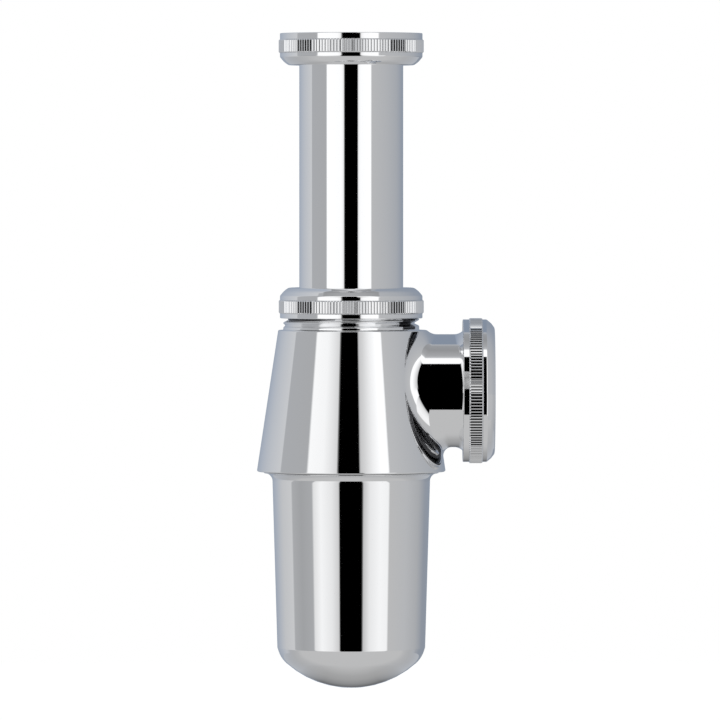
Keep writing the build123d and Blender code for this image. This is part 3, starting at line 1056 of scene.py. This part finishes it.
outlet_nut_mesh = nut(
    "outlet_compression_nut", outlet_nut_face, -1, OUTLET_CREST, KNURL_SEEDS["outlet"],
    flank_tilt=OUTLET_FLANK_TILT, place=about_branch, finish=shaded_mouth_outlet_nut,
)
for name, mesh, node, material in (
    ("inlet_union_nut", inlet_nut_mesh, "inlet_nut", nut_chrome),
    ("supply_tube", inlet_tube(), "inlet_tube", drawn_chrome),
    ("neck_compression_nut", neck_nut_mesh, "neck_nut", nut_chrome),
    ("body_casting", trap_body(), "trap_body", cast_chrome),
    ("outlet_compression_nut", outlet_nut_mesh, "outlet_nut", nut_chrome),
    ("cup_shell", cup(), "cup", drawn_chrome),
):
    for finish in (material, painted_shade_metal, matt_chrome):
        mesh.materials.append(finish)
    add_piece(name, mesh, node, node)


# Studio

# A bluish grey's green falls by this share of its red's fall
GREEN_SHARE = 0.25


def grey(level, blue=0.0):
    """A grey, slightly blue where asked, of the given brightness."""
    return (level * (1 - blue), level * (1 - blue * GREEN_SHARE), level * (1 + blue))


SOFTBOX = grey(1.12)
CARD = grey(0.0)

# Azimuth is measured from the camera's side, and is positive to the right. The rings are the
# same studio seen a little above the horizon, at the horizon, and a little below it.
left_far = [
    # The left half of the far side, and the grey screen to the left of the softbox
    (-180, grey(0.35, 0.2)), (-172, grey(0.40, 0.16)), (-150, grey(0.48, 0.12)),
    (-125, grey(0.56, 0.06)), (-98.5, grey(0.63, 0.02)),
    (-97.5, grey(0.44, 0.03)), (-57, grey(0.43, 0.02)),
]
right_far = [
    # The right half of the far side
    (85, grey(0.48, 0.03)), (120, grey(0.43, 0.06)), (150, grey(0.35, 0.14)),
    (180, grey(0.31, 0.2)),
]
high_ring = left_far + [
    # The left softbox, the black card, the right softbox and the wall beside it
    (-55.5, grey(1.04)), (-36, grey(1.0)), (-25, grey(0.84)), (-18, grey(0.72)),
    (-16.5, CARD), (10, CARD),
    (11.5, grey(0.6)), (17, grey(0.7)), (28, grey(0.95)), (38, SOFTBOX), (47.5, SOFTBOX),
    (49, grey(0.54, 0.01)),
] + right_far
middle_ring = left_far + [
    (-55, SOFTBOX), (-22, grey(1.08)), (-16.5, grey(0.92)),
    (-15, CARD), (14.2, CARD),
    (15.7, grey(0.95)), (21, grey(1.08)), (44.5, SOFTBOX),
    (46, grey(0.52, 0.01)),
] + right_far
low_ring = [
    (-180, grey(0.35, 0.18)), (-172, grey(0.38, 0.16)), (-145, grey(0.48, 0.1)),
    (-122, grey(0.58, 0.02)), (-99, grey(0.63, 0.01)),
    (-98, grey(0.44, 0.02)), (-80, grey(0.39, 0.02)), (-60, grey(0.43, 0.02)),
    (-58, grey(0.80)), (-46, grey(0.99)), (-29, grey(0.86)), (-18.5, grey(0.66)),
    (-17, CARD), (16.5, CARD),
    (18.3, grey(0.58)), (28, grey(0.87)), (44, grey(1.0)), (57, grey(0.96)),
    (59, grey(0.53)), (90, grey(0.51, 0.02)), (118, grey(0.44, 0.03)), (140, grey(0.33, 0.12)),
    (180, grey(0.30, 0.16)),
]
# The rings change over at these heights of the direction, where 1 is overhead
LOW_TO_MIDDLE = -0.062, -0.042
MIDDLE_TO_HIGH = 0.1, 0.2

# Pitch is measured in the plane of the camera's axis: 0 is the camera's side, 90 is overhead,
# and below the horizon it runs from the camera's side, 0, under the object to the far side.
overhead = [
    (0, SOFTBOX), (70.5, SOFTBOX), (73, grey(0.52, 0.02)), (78, grey(0.41, 0.02)),
    (86, grey(0.36, 0.02)), (92, grey(0.32, 0.02)), (102, grey(0.34, 0.03)),
    (107, grey(0.37, 0.04)), (109, grey(0.5, 0.04)), (112, grey(0.40, 0.06)),
    (124, grey(0.37, 0.08)), (180, grey(0.34, 0.12)),
]
under_sides = [
    (0, grey(0.55)), (95, grey(0.54)), (112, grey(0.48, 0.01)), (130, grey(0.45, 0.02)),
    (145, grey(0.46, 0.04)), (160, grey(0.49, 0.06)), (180, grey(0.42, 0.1)),
]
under_middle = [
    (0, grey(0.55)), (95, grey(0.54)), (102, grey(0.52)), (111, grey(0.46)), (120, grey(0.40)),
    (129, grey(0.37)), (141, grey(0.30, 0.01)), (148, grey(0.25, 0.02)), (157, grey(0.16, 0.03)),
    (180, grey(0.14, 0.04)),
]
# Where the ceiling and the ground start, in degrees from the horizon on the camera's side and on
# the far side, and where their soft edges start and end as shares of that
CEILING_START = 58, 69
CEILING_EDGE = 0.995, 1.005
GROUND_START = 38, 15
GROUND_EDGE = 0.985, 1.015
# A darker strip runs along the ground's middle, away from the camera. Its soft sides are
# distances sideways for each unit down
STRIP_EDGE = 0.28, 0.58

world = bpy.data.worlds.new("studio")
bpy.context.scene.world = world
world.use_nodes = True
nodes, links = world.node_tree.nodes, world.node_tree.links
background = nodes["Background"]
direction = nodes.new("ShaderNodeSeparateXYZ")
links.new(nodes.new("ShaderNodeTexCoord").outputs["Generated"], direction.inputs[0])
east, north, up = direction.outputs


def calculate(operation, *values):
    return output_of(nodes, links, "Math", *values, operation=operation)


def colored(stops, share):
    """The colour at a share of the way from the first stop to the last."""
    node = nodes.new("ShaderNodeValToRGB")
    elements = node.color_ramp.elements
    elements.remove(elements[-1])
    first, last = stops[0][0], stops[-1][0]
    elements[0].position = 0
    elements[0].color = (*stops[0][1], 1)
    for degrees, color in stops[1:]:
        elements.new((degrees - first) / (last - first)).color = (*color, 1)
    links.new(share, node.inputs["Fac"])
    return node.outputs["Color"]


def blended(factor, first, second):
    return output_of(nodes, links, "MixRGB", factor, first, second)


def step_up(value, low, high):
    """0 below low, 1 above high."""
    return output_of(nodes, links, "MapRange", value, low, high)


towards_camera = calculate("MULTIPLY", north, -1.0)
azimuth = calculate("MULTIPLY_ADD", calculate("ARCTAN2", east, towards_camera), 1 / FULL_TURN, 0.5)
pitch = calculate("ARCTAN2", calculate("ABSOLUTE", up), towards_camera)
pitch = calculate("MULTIPLY", pitch, 1 / math.pi)


def reaches(height, near, far):
    """1 where a flat, tilted edge is met, and more beyond it.

    The edge lies near degrees from the horizon on the camera's side and far degrees from it on
    the far side.
    """
    near, far = math.radians(near), math.radians(far)
    rise = (math.cos(near) + math.cos(far)) / math.sin(near + far)
    lean = (math.sin(far) - math.sin(near)) / math.sin(near + far)
    return calculate("MULTIPLY_ADD", height, rise, calculate("MULTIPLY", towards_camera, lean))


low, middle, high = (colored(ring, azimuth) for ring in (low_ring, middle_ring, high_ring))
walls = blended(step_up(up, *LOW_TO_MIDDLE), low, middle)
walls = blended(step_up(up, *MIDDLE_TO_HIGH), walls, high)
ceiling = step_up(reaches(up, *CEILING_START), *CEILING_EDGE)
studio = blended(ceiling, walls, colored(overhead, pitch))
sideways = calculate("DIVIDE", calculate("ABSOLUTE", east), calculate("ABSOLUTE", up))
strip = step_up(sideways, *STRIP_EDGE)
under = blended(strip, colored(under_middle, pitch), colored(under_sides, pitch))
ground = step_up(reaches(calculate("MULTIPLY", up, -1.0), *GROUND_START), *GROUND_EDGE)
studio = blended(ground, studio, under)
camera_ray = nodes.new("ShaderNodeLightPath").outputs["Is Camera Ray"]
links.new(blended(camera_ray, studio, (1, 1, 1, 1)), background.inputs["Color"])

# The floor lies well below the hanging trap and shows only white and the trap's soft shadow.
# Its lengths and the camera's place are metres.
FLOOR_LEVEL = -0.42
FLOOR_HALF = 4.0
FLOOR_GREY = 0.6
FLOOR_GLOW = 0.72
floor_corners = [
    (x * FLOOR_HALF, y * FLOOR_HALF, FLOOR_LEVEL)
    for x, y in ((-1, -1), (1, -1), (1, 1), (-1, 1))
]
floor_mesh = bpy.data.meshes.new("floor")
floor_mesh.from_pydata(floor_corners, [], [(0, 1, 2, 3)])
floor = add_object("floor", floor_mesh)
floor.visible_glossy = False
material, nodes, links, shader = new_material("white_floor")
floor_mesh.materials.append(material)
shader.inputs["Base Color"].default_value = (FLOOR_GREY, FLOOR_GREY, FLOOR_GREY, 1)
shader.inputs["Roughness"].default_value = 1.0
shader.inputs["Specular IOR Level"].default_value = 0.0
shader.inputs["Emission Color"].default_value = (1, 1, 1, 1)
camera_ray = nodes.new("ShaderNodeLightPath").outputs["Is Camera Ray"]
glow = output_of(nodes, links, "Math", camera_ray, FLOOR_GLOW, operation="MULTIPLY")
links.new(glow, shader.inputs["Emission Strength"])

# The camera looks slightly down from far off
CAMERA_LENS = 425
CAMERA_SENSOR = 36
CAMERA_PLACE = (0.0027, -2.619, -0.0384)
CAMERA_DOWN = math.radians(1.25)
camera_data = bpy.data.cameras.new("camera")
camera_data.lens = CAMERA_LENS
camera_data.sensor_width = CAMERA_SENSOR
camera = add_object("camera", camera_data)
camera.location = CAMERA_PLACE
camera.rotation_euler = (math.pi / 2 - CAMERA_DOWN, 0, 0)
bpy.context.scene.camera = camera
bpy.context.scene.view_settings.view_transform = "Standard"
